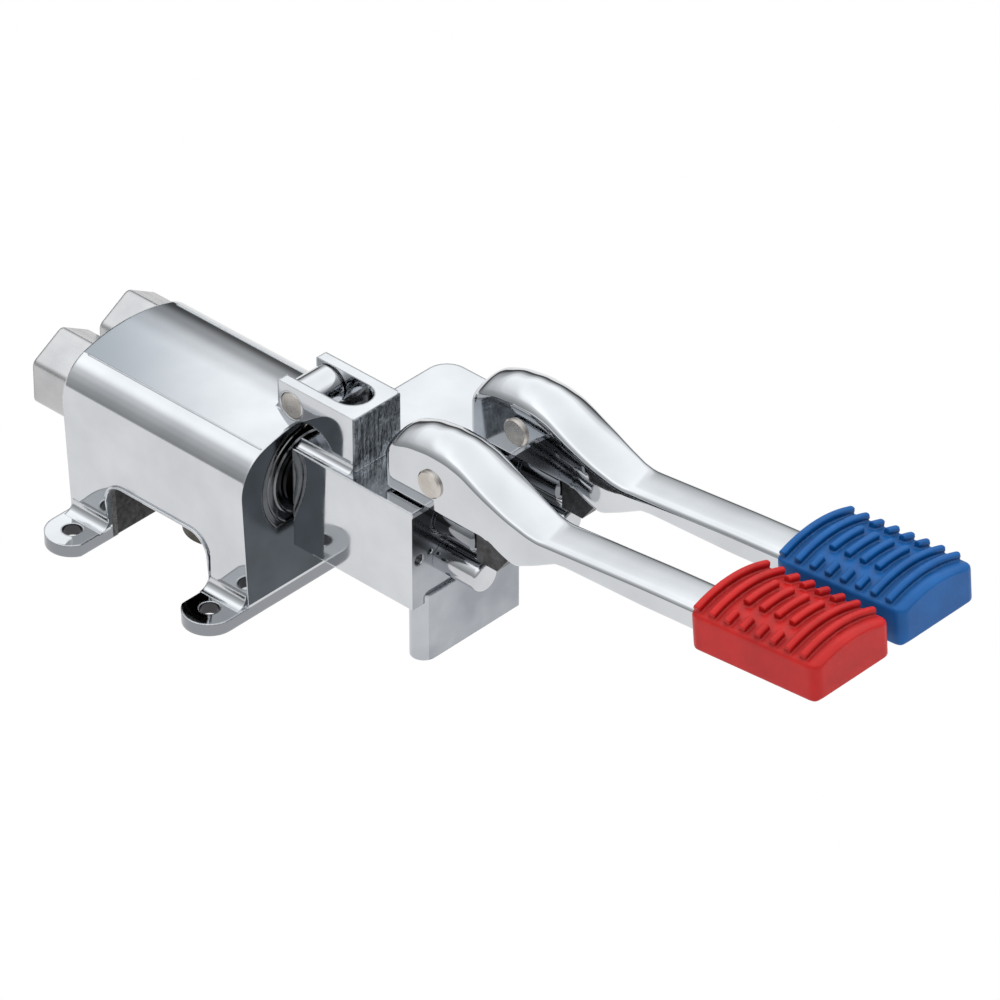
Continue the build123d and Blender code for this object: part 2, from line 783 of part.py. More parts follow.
def lever_finger(x):
    """Finger inside the head that bears on the push rod."""
    low = lever_pivot_z - finger_below
    half = finger_width / 2
    front = finger_y - finger_length
    points = [
        (finger_y, lever_pivot_z + brow_above),
        (finger_y, low),
        (front, low),
        (pivot_y - chin_ahead + head_wall, lever_pivot_z - chin_below + head_wall),
        (pivot_y - chin_ahead + head_wall, lever_pivot_z - throat_below),
    ]
    return plate_along_x(points, x - half, x + half)


def paddle(x):
    """Flat paddle at the end of the arm, under the rubber pad."""
    left = x - pad_left_reach + paddle_margin
    right = left + pad_width - 2 * paddle_margin
    length = pad_length - paddle_margin
    plate = box(left, right, -length, -paddle_root / 2, -paddle_thickness, 0)
    corners = plate.edges().filter_by(Axis.Z).sort_by(Axis.Y)[:2]
    plate = fillet(corners, pad_corner_r)
    return Pos(0, pad_rear_y, pad_rear_top - paddle_root) * Rot(-pad_slope, 0, 0) * plate


def pedal_lever(x):
    """Pedal lever casting: hollow head with its finger, arm and paddle."""
    lever = lever_outer(x) + head_dome(x) - lever_hollow(x)
    lever += lever_finger(x)
    lever -= rod_along_x(pivot_pin_r + running, x - head_width, x + head_width, pivot_y, lever_pivot_z)
    return lever + paddle(x)


def crown_face(width, height, crown, base):
    """Section of the pad across its width: flat bottom and crowned top."""
    half = width / 2
    with BuildSketch(Plane.XZ) as section:
        with BuildLine():
            Polyline((-half, base + height), (-half, base), (half, base), (half, base + height))
            ThreePointArc((half, base + height), (0, base + height + crown), (-half, base + height))
        make_face()
    return section.sketch


def pedal_pad(x, lever):
    """Rubber pad with raised cross ribs, drawn over the paddle."""
    pad = extrude(crown_face(pad_width, pad_edge_height, pad_crown, -pad_edge_height), amount=pad_length)
    pad = fillet(pad.edges().filter_by(Axis.Z), pad_corner_r)
    rib_section = crown_face(pad_width - 2 * rib_inset, rib_root + rib_rise, pad_crown, -rib_root)
    rib = extrude(rib_section, amount=rib_width)
    for i in range(rib_count):
        pad += Pos(0, -rib_inset - i * rib_pitch, 0) * rib
    centre_x = x - pad_left_reach + pad_width / 2
    pad = Pos(centre_x, pad_rear_y, pad_rear_top) * Rot(-pad_slope, 0, 0) * pad
    return pad - lever


def write(name, shape):
    """Write one sub-part to its own file."""
    export_step(shape, f"parts/{name}.step")


os.makedirs("parts", exist_ok=True)
write("body_housing", body_housing())
write("valve_chest", valve_chest())
write("gland_cap", gland_cap())
write("stem_seal", stem_seal())
write("cold_seat", valve_seat(cold_seat_y, cold_seat_bore_r))
write("hot_seat", valve_seat(hot_seat_y, hot_seat_bore_r))
write("cold_sleeve", cold_sleeve())
write("hot_stem", hot_stem())
cold_coil_r = cold_poppet_r - spring_wire
write("cold_valve_spring", coil_spring(cold_coil_r, sleeve_end_y, hot_seat_y, 0, valve_z))
hot_coil_r = hot_poppet_r - spring_wire
write("hot_valve_spring", coil_spring(hot_coil_r, hot_pin_end_y, chest_bore_end_y, 0, valve_z))
write("front_block", front_block())
write("front_foot", front_foot())
write("block_cover", block_cover())
write("cover_screws", cover_screws())
write("grub_screws", grub_screws())
write("hinge_pin", hinge_pin())
write("transfer_plate_hot", transfer_plate_hot())
write("transfer_bar_cold", transfer_bar_cold())
for side, x in (("left", -inlet_x), ("right", inlet_x)):
    write(f"inlet_union_{side}", inlet_union(x))
    write(f"inlet_strainer_{side}", inlet_strainer(x))
for side, x, rod_end in (("hot", hot_x, hot_plate_front_y), ("cold", cold_x, cold_bar_front_y)):
    lever = pedal_lever(x)
    write(f"pedal_lever_{side}", lever)
    write(f"pedal_pad_{side}", pedal_pad(x, lever))
    write(f"pivot_pin_{side}", pivot_pin(x))
    write(f"rod_bush_{side}", rod_bush(x))
    write(f"push_rod_{side}", push_rod(x, rod_end))
    write(f"bump_stop_{side}", bump_stop(x))
    spring_r = rod_tail_r + running + spring_wire
    write(f"return_spring_{side}", coil_spring(spring_r, rod_shoulder_y, chamber_end_y, x, rod_z))
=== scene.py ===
import bpy
import bmesh
import math
from mathutils import Matrix, Vector, noise


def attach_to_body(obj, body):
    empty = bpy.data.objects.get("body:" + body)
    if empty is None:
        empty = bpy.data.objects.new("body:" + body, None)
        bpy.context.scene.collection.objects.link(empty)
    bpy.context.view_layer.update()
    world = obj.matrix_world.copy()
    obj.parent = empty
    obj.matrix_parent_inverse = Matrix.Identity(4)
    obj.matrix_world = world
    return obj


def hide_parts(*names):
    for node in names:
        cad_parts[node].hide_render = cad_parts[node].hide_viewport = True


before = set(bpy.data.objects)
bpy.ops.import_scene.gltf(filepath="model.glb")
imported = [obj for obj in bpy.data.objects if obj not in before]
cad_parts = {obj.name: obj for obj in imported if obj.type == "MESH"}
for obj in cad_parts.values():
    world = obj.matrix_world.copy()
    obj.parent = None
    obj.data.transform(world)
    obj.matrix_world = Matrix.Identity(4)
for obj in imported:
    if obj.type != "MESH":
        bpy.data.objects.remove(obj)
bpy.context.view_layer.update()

# The camera stands to the front left of the valve and looks down on it through a long lens.
# Its angles, distance and target are those of the photograph.
camera_azimuth = math.radians(-46.71)
camera_elevation = math.radians(35.20)
camera_distance = 2.4841
camera_target = Vector((0.05138, -0.08001, 0.02535))
towards_camera = Vector((
    math.sin(camera_azimuth) * math.cos(camera_elevation),
    -math.cos(camera_azimuth) * math.cos(camera_elevation),
    math.sin(camera_elevation),
))
camera_data = bpy.data.cameras.new("studio_camera")
camera_data.lens = 269.9
camera_data.sensor_width = 36.0
camera_data.clip_end = 20.0
camera = bpy.data.objects.new("studio_camera", camera_data)
camera.location = camera_target + towards_camera * camera_distance
camera.rotation_euler = (-towards_camera).to_track_quat("-Z", "Y").to_euler()
bpy.context.scene.collection.objects.link(camera)
bpy.context.scene.camera = camera
bpy.context.scene.view_settings.view_transform = "Standard"


# The floor is a wide pale sheet. Camera, mirror and glass see it plain white, and it keeps the valve's shadow
# for every other ray.
def attach(tree, kind, given):
    """New node whose inputs are linked to the given sockets or set to the given constants."""
    node = tree.nodes.new(kind)
    for label, value in given.items():
        if isinstance(value, bpy.types.NodeSocket):
            tree.links.new(value, node.inputs[label])
        else:
            node.inputs[label].default_value = value
    return node


def step(tree, operation, *values):
    """One step of arithmetic on sockets and constants."""
    node = attach(tree, "ShaderNodeMath", dict(enumerate(values)))
    node.operation = operation
    return node.outputs[0]


def new_finish(name):
    """New material with its node tree and its shader."""
    finish = bpy.data.materials.new(name)
    finish.use_nodes = True
    return finish, finish.node_tree, finish.node_tree.nodes["Principled BSDF"]


floor_half = 6.0
floor_corners = [(-floor_half, -floor_half, 0), (floor_half, -floor_half, 0), (floor_half, floor_half, 0),
                 (-floor_half, floor_half, 0)]
floor_mesh = bpy.data.meshes.new("studio_floor")
floor_mesh.from_pydata(floor_corners, [], [(0, 1, 2, 3)])
floor = bpy.data.objects.new("studio_floor", floor_mesh)
bpy.context.scene.collection.objects.link(floor)
floor_finish, tree, paint = new_finish("studio_floor_white")
paint.inputs["Base Color"].default_value = (0.8, 0.8, 0.8, 1)
paint.inputs["Roughness"].default_value = 0.9
rays = tree.nodes.new("ShaderNodeLightPath").outputs
seen = step(tree, "MAXIMUM", rays["Is Camera Ray"], rays["Is Glossy Ray"])
seen = step(tree, "MAXIMUM", seen, rays["Is Transmission Ray"])
white = attach(tree, "ShaderNodeEmission", {"Color": (1, 1, 1, 1), "Strength": 1.0})
shown = attach(tree, "ShaderNodeMixShader", {0: seen, 1: paint.outputs[0], 2: white.outputs[0]})
tree.links.new(shown.outputs[0], tree.nodes["Material Output"].inputs["Surface"])
floor_mesh.materials.append(floor_finish)


# The room is a white tent with a dark gap low down all round, which gives polished metal its dark lines.
# The camera sees the tent as plain white.
def coordinates(tree, kind):
    """The X, Y and Z of one of the texture coordinates."""
    place = tree.nodes.new("ShaderNodeTexCoord")
    return attach(tree, "ShaderNodeSeparateXYZ", {0: place.outputs[kind]}).outputs


def ranged(tree, value, low, high, to_low=0.0, to_high=1.0, kind="LINEAR"):
    """A value carried from one range to another."""
    node = attach(tree, "ShaderNodeMapRange", {
        "Value": value, "From Min": low, "From Max": high, "To Min": to_low, "To Max": to_high,
    })
    node.interpolation_type = kind
    return node.outputs[0]


def mixed(tree, factor, first, second, kind="RGBA"):
    """Mix of two colours, or of two numbers, each a socket or a constant."""
    node = tree.nodes.new("ShaderNodeMix")
    node.data_type = kind
    places, result = ((6, 7), 2) if kind == "RGBA" else ((2, 3), 0)
    tree.links.new(factor, node.inputs[0])
    for place, value in zip(places, (first, second)):
        if isinstance(value, bpy.types.NodeSocket):
            tree.links.new(value, node.inputs[place])
        else:
            node.inputs[place].default_value = (*value, 1) if kind == "RGBA" else value
    return node.outputs[result]


left_tent = [(0.0, 0.62), (0.5, 0.50), (0.52, 0.36), (0.62, 0.44), (0.72, 0.60), (0.80, 0.82), (0.895, 1.62),
             (1.0, 1.35)]
right_tent = [(0.0, 0.62), (0.5, 0.60), (0.515, 0.05), (0.575, 0.10), (0.65, 0.52), (0.74, 1.15), (0.80, 1.46),
              (1.0, 1.30)]
tent_left_x = -0.6
tent_right_x = 0.3
tent_tint = (0.97, 0.99, 1.0)
world = bpy.data.worlds.new("studio")
bpy.context.scene.world = world
world.use_nodes = True
tree = world.node_tree
direction = coordinates(tree, "Generated")
height = ranged(tree, direction["Z"], -1.0, 1.0)
halves = []
for heights in (left_tent, right_tent):
    shade = attach(tree, "ShaderNodeValToRGB", {"Fac": height})
    ramp = shade.color_ramp
    ramp.interpolation = "EASE"
    while len(ramp.elements) < len(heights):
        ramp.elements.new(1.0)
    for element, (level, grey) in zip(ramp.elements, heights):
        element.position = level
        element.color = (*(grey * share for share in tent_tint), 1)
    halves.append(shade.outputs["Color"])
side = ranged(tree, direction["X"], tent_left_x, tent_right_x, kind="SMOOTHSTEP")
tent = mixed(tree, side, halves[0], halves[1])
rays = tree.nodes.new("ShaderNodeLightPath").outputs
plain = mixed(tree, rays["Is Camera Ray"], tent, (1, 1, 1))
tree.links.new(plain, tree.nodes["Background"].inputs["Color"])

# One wide soft lamp hangs above and behind the valve's left shoulder, and a weaker one fills from the right.
# Polished metal doesn't mirror them.
lamp_target = Vector((0.02, -0.08, 0.04))
for lamp_name, lamp_place, lamp_width, lamp_power in (
    ("soft_key", (-0.55, 0.55, 1.35), 0.9, 3.5),
    ("soft_fill", (1.1, -0.5, 0.9), 0.8, 3.0),
):
    lamp_data = bpy.data.lights.new(lamp_name, "AREA")
    lamp_data.energy = lamp_power
    lamp_data.size = lamp_width
    lamp = bpy.data.objects.new(lamp_name, lamp_data)
    lamp.location = lamp_place
    lamp.visible_glossy = False
    lamp.rotation_euler = (lamp_target - Vector(lamp_place)).to_track_quat("-Z", "Y").to_euler()
    bpy.context.scene.collection.objects.link(lamp)


# The housing is a zinc casting, ground, polished and chromed all over, and left as cast inside, where painted shade
# makes it nearly black. Its front wall stays duller and a painted dark reflection makes it darker, painted shade
# darkens the crown towards its rear left corner and the feet's edges and holes, and faint polishing marks cloud the
# plating.
def object_noise(tree, scale, stretch=(1, 1, 1), detail=3.0):
    """Noise that is fixed to the piece."""
    place = tree.nodes.new("ShaderNodeTexCoord")
    turn = attach(tree, "ShaderNodeMapping", {"Vector": place.outputs["Object"], "Scale": stretch})
    cloud = attach(tree, "ShaderNodeTexNoise", {"Vector": turn.outputs[0], "Scale": scale, "Detail": detail})
    return cloud.outputs["Fac"]


def spread(tree, value, low, high):
    """Noise opened out from the middle, where most of it lies, to a full range."""
    noise_low = 0.3
    noise_high = 0.7
    return ranged(tree, value, noise_low, noise_high, low, high)


def grain(tree, shader, value, strength, distance, edge=0.0):
    """Fine relief on a shader, with softened edges where a radius is given."""
    given = {"Height": value, "Strength": strength, "Distance": distance}
    if edge:
        rounded = attach(tree, "ShaderNodeBevel", {"Radius": edge})
        rounded.samples = 6
        given["Normal"] = rounded.outputs[0]
    tree.links.new(attach(tree, "ShaderNodeBump", given).outputs[0], shader.inputs["Normal"])


def metal(name, pale, dark, rough, scale=140.0, stretch=(1, 1, 1), strength=0.03, distance=0.00005, edge=0.0):
    """Metal with a cloudy colour and a fine grain."""
    finish, tree, shader = new_finish(name)
    shader.inputs["Metallic"].default_value = 1.0
    cloud_share = 0.35
    cloud = spread(tree, object_noise(tree, scale * cloud_share), 0, 1)
    tree.links.new(mixed(tree, cloud, pale, dark), shader.inputs["Base Color"])
    fine = object_noise(tree, scale, stretch, detail=5.0)
    tree.links.new(spread(tree, fine, *rough), shader.inputs["Roughness"])
    grain(tree, shader, fine, strength, distance, edge)
    return finish


def wear(node, finish):
    """Puts a finish on a CAD node."""
    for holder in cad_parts[node].material_slots:
        holder.material = finish


def faces_front(tree, low, high):
    """One on faces that look forward between two heights, and nought elsewhere."""
    forward = -0.9
    z = coordinates(tree, "Object")["Z"]
    front = step(tree, "LESS_THAN", coordinates(tree, "Normal")["Y"], forward)
    between = step(tree, "MULTIPLY", step(tree, "GREATER_THAN", z, low), step(tree, "LESS_THAN", z, high))
    return step(tree, "MULTIPLY", front, between)


def metal_with_front(name, pale, dark, painted_front_pale, painted_front_dark, low, high, front_rough):
    """Polished metal whose front is duller and has a painted dark reflection in its colour."""
    cloud_scale = 55.0
    grain_scale = 150.0
    polish_low = 0.03
    polish_high = 0.08
    finish, tree, shader = new_finish(name)
    shader.inputs["Metallic"].default_value = 1.0
    cloud = spread(tree, object_noise(tree, cloud_scale), 0, 1)
    mask = faces_front(tree, low, high)
    colour = mixed(tree, mask, mixed(tree, cloud, pale, dark), mixed(tree, cloud, painted_front_pale, painted_front_dark))
    tree.links.new(colour, shader.inputs["Base Color"])
    fine = object_noise(tree, grain_scale, detail=5.0)
    rough = mixed(tree, mask, spread(tree, fine, polish_low, polish_high), front_rough, "FLOAT")
    tree.links.new(rough, shader.inputs["Roughness"])
    grain(tree, shader, fine, strength=0.012, distance=0.00005, edge=0.0010)
    return finish, tree, shader, colour, rough


def inside_shell(tree):
    """One inside the housing's hollow and nought outside."""
    roof_z = 0.0648
    roof_fall = 13.5
    wall_foot_x = 0.0270
    wall_lean = 0.045
    half_length = 0.0400
    floor_gap = 0.0002
    point = coordinates(tree, "Object")
    x, y, z = point["X"], point["Y"], point["Z"]
    roof = step(tree, "SUBTRACT", roof_z, step(tree, "MULTIPLY", step(tree, "MULTIPLY", x, x), roof_fall))
    wall = step(tree, "ADD", wall_foot_x, step(tree, "MULTIPLY", z, wall_lean))
    within = step(tree, "LESS_THAN", step(tree, "ABSOLUTE", x), wall)
    within = step(tree, "MULTIPLY", within, step(tree, "LESS_THAN", step(tree, "ABSOLUTE", y), half_length))
    within = step(tree, "MULTIPLY", within, step(tree, "LESS_THAN", z, roof))
    return step(tree, "MULTIPLY", within, step(tree, "GREATER_THAN", z, floor_gap))


def shaded_crown(tree):
    """Mask of the crown's painted shade: rises from nought to one over the top of the crown, from its front right to
    its rear left.
    """
    slant = 0.9
    painted_shade_from = -0.022
    painted_shade_to = 0.062
    nearly_level = 0.93
    crown_foot_z = 0.055
    point = coordinates(tree, "Object")
    level = step(tree, "SUBTRACT", point["Y"], step(tree, "MULTIPLY", point["X"], slant))
    rise = ranged(tree, level, painted_shade_from, painted_shade_to, kind="SMOOTHSTEP")
    up = step(tree, "GREATER_THAN", coordinates(tree, "Normal")["Z"], nearly_level)
    high = step(tree, "GREATER_THAN", point["Z"], crown_foot_z)
    return step(tree, "MULTIPLY", rise, step(tree, "MULTIPLY", up, high))


chrome_pale = (0.64, 0.655, 0.675)
chrome_dark = (0.57, 0.585, 0.61)
wall_painted_pale = (0.085, 0.10, 0.115)
wall_painted_dark = (0.06, 0.07, 0.08)
cast_and_shade_pale = (0.05, 0.05, 0.052)
cast_and_shade_dark = (0.16, 0.16, 0.165)
cast_rough = 0.5
crown_painted_shade = (0.29, 0.315, 0.345)
foot_edge_painted_shade = (0.27, 0.28, 0.30)
hole_painted_shade = (0.06, 0.06, 0.065)
foot_edge_z = 0.00455
foot_hole_x = 0.03775
foot_hole_y = 0.0325
foot_hole_r = 0.0037
steep_below = 0.5
# The front wall's darker colour is a painted dark reflection.
housing_chrome, tree, shader, colour, rough = metal_with_front(
    "housing_chrome", chrome_pale, chrome_dark, wall_painted_pale, wall_painted_dark, low=0.0055, high=0.0665, front_rough=0.22,
)
# Painted shade darkens the crown towards its rear left.
colour = mixed(tree, shaded_crown(tree), colour, crown_painted_shade)
# The feet's upright edge faces get a painted shade.
point = coordinates(tree, "Object")
upright = step(tree, "LESS_THAN", coordinates(tree, "Normal")["Z"], steep_below)
foot_faces = step(tree, "MULTIPLY", step(tree, "LESS_THAN", point["Z"], foot_edge_z), upright)
away_x = step(tree, "SUBTRACT", step(tree, "ABSOLUTE", point["X"]), foot_hole_x)
away_y = step(tree, "SUBTRACT", step(tree, "ABSOLUTE", point["Y"]), foot_hole_y)
away = step(tree, "ADD", step(tree, "MULTIPLY", away_x, away_x), step(tree, "MULTIPLY", away_y, away_y))
# The inside of the foot holes gets a darker painted shade.
drilled = step(tree, "MULTIPLY", foot_faces, step(tree, "LESS_THAN", away, foot_hole_r ** 2))
for mask, shade in ((foot_faces, foot_edge_painted_shade), (drilled, hole_painted_shade)):
    colour = mixed(tree, mask, colour, shade)
# Inside, the rough as-cast surface has painted shade that makes it nearly black.
inside = inside_shell(tree)
cast_cloud = spread(tree, object_noise(tree, scale=1400.0, detail=2.0), 0, 1)
cast_and_shade_colour = mixed(tree, cast_cloud, cast_and_shade_pale, cast_and_shade_dark)
tree.links.new(mixed(tree, inside, colour, cast_and_shade_colour), shader.inputs["Base Color"])
tree.links.new(mixed(tree, inside, rough, cast_rough, "FLOAT"), shader.inputs["Roughness"])
wear("body_housing", housing_chrome)


# Two webs close the tunnel under the housing, one by each pair of feet. They are part of the casting and are left as
# cast and rough, with painted shade that makes them nearly black.
def skinned(rings, smooth=False):
    """Closed skin through rings of points, capped at both ends."""
    build = bmesh.new()
    rows = [[build.verts.new(point) for point in ring] for ring in rings]
    for a, b in zip(rows, rows[1:]):
        for i in range(len(a)):
            j = (i + 1) % len(a)
            build.faces.new((a[i], a[j], b[j], b[i])).smooth = smooth
    build.faces.new(list(reversed(rows[0])))
    build.faces.new(rows[-1])
    return build


def as_mesh(name, build, finish):
    """Object from a built skin, with its faces turned outward."""
    bmesh.ops.recalc_face_normals(build, faces=build.faces)
    mesh = bpy.data.meshes.new(name)
    build.to_mesh(mesh)
    build.free()
    mesh.materials.append(finish)
    piece = bpy.data.objects.new(name, mesh)
    bpy.context.scene.collection.objects.link(piece)
    return piece


web_finish = metal("web_cast_and_shade", (0.075, 0.075, 0.078), (0.03, 0.03, 0.032), rough=(0.45, 0.62), scale=1200.0,
                   strength=0.6, distance=0.0002)
web_outline = [(-0.0252, 0.0), (0.0252, 0.0), (0.0258, 0.0120), (0.0261, 0.0205), (0.0225, 0.0243), (0.0150, 0.0262),
               (-0.0150, 0.0262), (-0.0225, 0.0243), (-0.0261, 0.0205), (-0.0258, 0.0120)]
web_lift = 0.0002
web_near = 0.0242
web_far = 0.0275
for web_name, near_y, far_y in (("web_rear", web_near, web_far), ("web_front", -web_far, -web_near)):
    rings = [[(x, y, z + web_lift) for x, z in web_outline] for y in (near_y, far_y)]
    web = as_mesh(web_name, skinned(rings), web_finish)
    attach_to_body(web, "housing")


# A cove eases each leg of the housing into the top of its foot. It is cast in one with them and chromed.
# Its back and its base are buried in the casting.
def cove_strip(name, side, wall_x, base_z, radius, near_y, far_y, finish, body):
    """Strip along Y with a hollow quarter-round face, between a wall and a base."""
    buried = 0.0006
    proud = 0.0002
    steps = 12
    profile = [(wall_x - buried, base_z - buried), (wall_x - buried / 2, base_z + radius)]
    for i in range(steps + 1):
        a = math.pi / 2 * i / steps
        profile.append((wall_x + proud + radius * (1 - math.cos(a)), base_z + radius * (1 - math.sin(a))))
    profile.append((wall_x + proud + radius, base_z - buried))
    rings = [[(side * x, y, z) for x, z in profile] for y in (near_y, far_y)]
    cove = as_mesh(name, skinned(rings, smooth=True), finish)
    cove.data.set_sharp_from_angle(angle=math.radians(35))
    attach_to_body(cove, body)


leg_half = 0.0290
foot_top = 0.0046
foot_cove_r = 0.0042
foot_near = 0.0235
foot_far = 0.0410
for side_name, side in (("left", -1), ("right", 1)):
    for end_name, near_y, far_y in (("front", -foot_far, -foot_near), ("rear", foot_near, foot_far)):
        cove_strip(f"foot_cove_{end_name}_{side_name}", side, leg_half, foot_top, foot_cove_r, near_y, far_y,
                   housing_chrome, "housing")


# A fine bead runs along each edge of the crown and round each side arch, where the ground faces of the casting
# meet. It is polished and chromed with them.
def bead_along(name, path, radius, finish):
    """Round bead through a row of points, drawn in at both ends."""
    sides = 10
    tip_share = 0.3
    rings = []
    for i, point in enumerate(path):
        along = (path[min(i + 1, len(path) - 1)] - path[max(i - 1, 0)]).normalized()
        side = along.cross(Vector((0, 0, 1)) if abs(along.z) < 0.99 else Vector((1, 0, 0))).normalized()
        up = side.cross(along)
        share = tip_share if i in (0, len(path) - 1) else 1.0
        angles = [math.tau * k / sides for k in range(sides)]
        rings.append([point + (side * math.cos(a) + up * math.sin(a)) * radius * share for a in angles])
    bead = as_mesh(name, skinned(rings, smooth=True), finish)
    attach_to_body(bead, "housing")


crown_x = 0.0206
crown_z = 0.06347
crown_stations = (0.0400, 0.0396, 0.0390, 0.0, -0.0395, -0.0405, -0.0412)
crown_bead_r = 0.00042
arch_half = 0.0240
arch_foot = 0.0070
arch_top = 0.0249
arch_round = 0.0080
arch_steps = 8
arch_bead_r = 0.00055
wall_foot_x = 0.0289
wall_slope = 0.049
for bead_side, sign in (("left", -1), ("right", 1)):
    crown_path = [Vector((sign * crown_x, y, crown_z)) for y in crown_stations]
    bead_along(f"crown_bead_{bead_side}", crown_path, crown_bead_r, housing_chrome)
    outline = [(-arch_half, arch_foot)]
    for i in range(arch_steps + 1):
        a = math.pi / 2 * i / arch_steps
        outline.append((-arch_half + arch_round * (1 - math.cos(a)), arch_top - arch_round * (1 - math.sin(a))))
    outline += [(-y, z) for y, z in reversed(outline)]
    arch_path = [Vector((sign * (wall_foot_x + wall_slope * z), y, z)) for y, z in outline]
    bead_along(f"arch_bead_{bead_side}", arch_path, arch_bead_r, housing_chrome)

# Turned steps ring the gland on the housing's front wall. They are cut into the casting, dull from the tool, and
# end below at a level ledge.
ring_metal = metal("turned_rings", (0.20, 0.205, 0.215), (0.12, 0.125, 0.13), rough=(0.14, 0.24), scale=500.0,
                   strength=0.1)
ring_profile = [(0.0122, -0.0404), (0.0122, -0.0412), (0.0140, -0.0412), (0.0145, -0.0417), (0.0151, -0.0417),
                (0.0156, -0.0412), (0.0175, -0.0412), (0.0179, -0.0417), (0.0181, -0.04185), (0.0187, -0.04185),
                (0.0189, -0.0415), (0.0203, -0.0415), (0.0206, -0.04195), (0.0212, -0.04195), (0.0214, -0.0415),
                (0.0214, -0.0404)]
ring_axis_z = 0.0445
ring_ledge_z = 0.0302
ring_steps = 96
build = bmesh.new()
rows = []
for i in range(ring_steps):
    a = math.tau * i / ring_steps
    rows.append([build.verts.new((r * math.cos(a), y, ring_axis_z + r * math.sin(a))) for r, y in ring_profile])
for i in range(ring_steps):
    this_row, next_row = rows[i], rows[(i + 1) % ring_steps]
    for j in range(len(ring_profile)):
        k = (j + 1) % len(ring_profile)
        build.faces.new((this_row[j], this_row[k], next_row[k], next_row[j]))
cut = bmesh.ops.bisect_plane(
    build, geom=build.verts[:] + build.edges[:] + build.faces[:], plane_co=(0, 0, ring_ledge_z), plane_no=(0, 0, -1),
    clear_outer=True,
)
bmesh.ops.holes_fill(build, edges=[e for e in cut["geom_cut"] if isinstance(e, bmesh.types.BMEdge)], sides=0)
rings = as_mesh("wall_rings", build, ring_metal)
rings.data.polygons.foreach_set("use_smooth", [True] * len(rings.data.polygons))
rings.data.set_sharp_from_angle(angle=math.radians(30))
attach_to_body(rings, "housing")

# The gland is a turned nut in the housing's front wall, blackened all over.
# The two grub screws in the block's front face have the same dark finish.
gland_metal = metal("gland_black", (0.09, 0.09, 0.095), (0.05, 0.05, 0.055), rough=(0.18, 0.30))
wear("gland_cap", gland_metal)
wear("grub_screws", gland_metal)

# The hinge and the block are one polished casting that lifts with the pedals. Its front face is ground and a little
# duller, with a painted dark reflection in its colour, and painted shade darkens it further towards the heads of the
# levers.
block_front_top = 0.0595
block_painted_shade_from = 0.034
block_painted_shade_to = 0.050
block_painted_shade = (0.05, 0.053, 0.057)
block_chrome, tree, shader, colour = metal_with_front(
    "block_chrome", chrome_pale, chrome_dark, (0.40, 0.42, 0.45), (0.30, 0.32, 0.35),
    low=0.0, high=block_front_top, front_rough=0.17,
)[:4]
upper = ranged(tree, coordinates(tree, "Object")["Z"], block_painted_shade_from, block_painted_shade_to, kind="SMOOTHSTEP")
painted_shade_mask = step(tree, "MULTIPLY", upper, faces_front(tree, 0.0, block_front_top))
tree.links.new(mixed(tree, painted_shade_mask, colour, block_painted_shade), shader.inputs["Base Color"])
wear("front_block", block_chrome)

# A cove eases the clevis's left side into the top of the block. It is cast in one with them and chromed.
# It lies to the left of the clevis only.
cove_strip("clevis_cove", -1, wall_x=0.0073, base_z=0.0615, radius=0.0026, near_y=-0.0698, far_y=-0.0462,
           finish=block_chrome, body="carriage")

# The clevis is sawn off at the front, which leaves coarse upright tears in the zinc, and burrs along both edges.
# The sheet is sunk a little into the casting at its rim.
sawn_metal = metal("sawn_face", (0.36, 0.385, 0.41), (0.07, 0.075, 0.085), rough=(0.24, 0.42), scale=330.0,
                   stretch=(1, 1, 0.25), strength=0.35, distance=0.0002)
sawn_left = -0.0072
sawn_right = 0.0146
sawn_bottom = 0.0616
sawn_top = 0.0819
sawn_y = -0.0699
sawn_columns = 66
sawn_rows = 60
sawn_skin = 0.00022
sawn_buried = 0.0003
tear_depth = 0.00042
tear_marks = (520, 70, 1.0)
fine_share = 0.6
fine_marks = (1500, 420, 7.0)
burr_reach = 0.0022
burr_share = 1.3
burr_marks = (160, 1500, 3.0)
rim_reach = 0.0003


def torn(x, z, marks):
    """Depth of the saw's marks at a point of the face, for marks of one size."""
    across, upward, seed = marks
    return abs(noise.noise(Vector((x * across, z * upward, seed))))


build = bmesh.new()
grid = []
for i in range(sawn_columns + 1):
    x = sawn_left + (sawn_right - sawn_left) * i / sawn_columns
    column = []
    for j in range(sawn_rows + 1):
        z = sawn_bottom + (sawn_top - sawn_bottom) * j / sawn_rows
        tear = torn(x, z, tear_marks) + fine_share * torn(x, z, fine_marks)
        edge_gap = min(x - sawn_left, sawn_right - x)
        if edge_gap < burr_reach:
            tear += (1 - edge_gap / burr_reach) * burr_share * torn(x, z, burr_marks)
        rim = min(1.0, min(edge_gap, z - sawn_bottom, sawn_top - z) / rim_reach)
        column.append(build.verts.new((x, sawn_y - sawn_skin - tear_depth * tear * rim, z)))
    grid.append(column)
for a, b in zip(grid, grid[1:]):
    for j in range(sawn_rows):
        build.faces.new((a[j], b[j], b[j + 1], a[j + 1]))
border = [column[0] for column in grid] + grid[-1][1:] + [column[-1] for column in reversed(grid[:-1])]
border += list(reversed(grid[0][1:-1]))
inner = [build.verts.new((v.co.x, sawn_y + sawn_buried, v.co.z)) for v in border]
for i in range(len(border)):
    j = (i + 1) % len(border)
    build.faces.new((border[i], inner[i], inner[j], border[j]))
build.faces.new(inner)
sawn_face = as_mesh("sawn_face", build, sawn_metal)
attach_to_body(sawn_face, "carriage")

# The front foot is a chromed plate under the block, a little darker than the block, and its front face has a painted
# dark reflection. It lifts with the block.
foot_chrome = metal_with_front(
    "foot_chrome", (0.50, 0.52, 0.55), (0.42, 0.44, 0.47), (0.44, 0.46, 0.49), (0.31, 0.33, 0.36),
    low=0.0, high=0.030, front_rough=0.16,
)[0]
wear("front_foot", foot_chrome)

